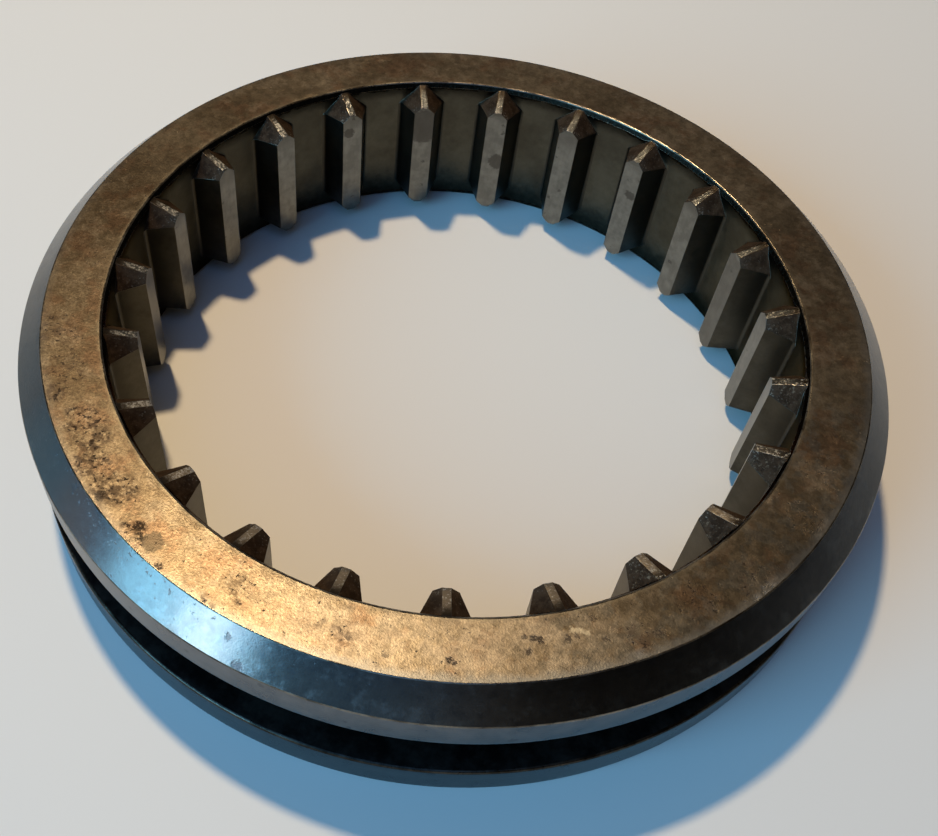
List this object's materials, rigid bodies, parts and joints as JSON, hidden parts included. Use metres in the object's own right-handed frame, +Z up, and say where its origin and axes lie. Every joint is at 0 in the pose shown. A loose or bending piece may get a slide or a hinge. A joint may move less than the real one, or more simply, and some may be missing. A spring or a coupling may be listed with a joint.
{
  "type": "internal ring gear",
  "caption": "Steel ring with widely spaced internal teeth, pointed at both ends, and a fork groove round its outside: the sliding sleeve of a gearbox synchroniser.",
  "frame": {"origin": "centre of the lower face, on the ring's axis", "axes": "+Z up along the ring's axis, out of the bevelled upper face; +X through the middle of the first tooth"},
  "size_m": [0.1, 0.1, 0.0196],
  "materials": {
    "steel": "satin hardened steel with a brown heat and oil patina, fine dark pitting and brighter worn edges"
  },
  "bodies": {
    "root": {"ring_gear": "steel"}
  },
  "joints": []
}
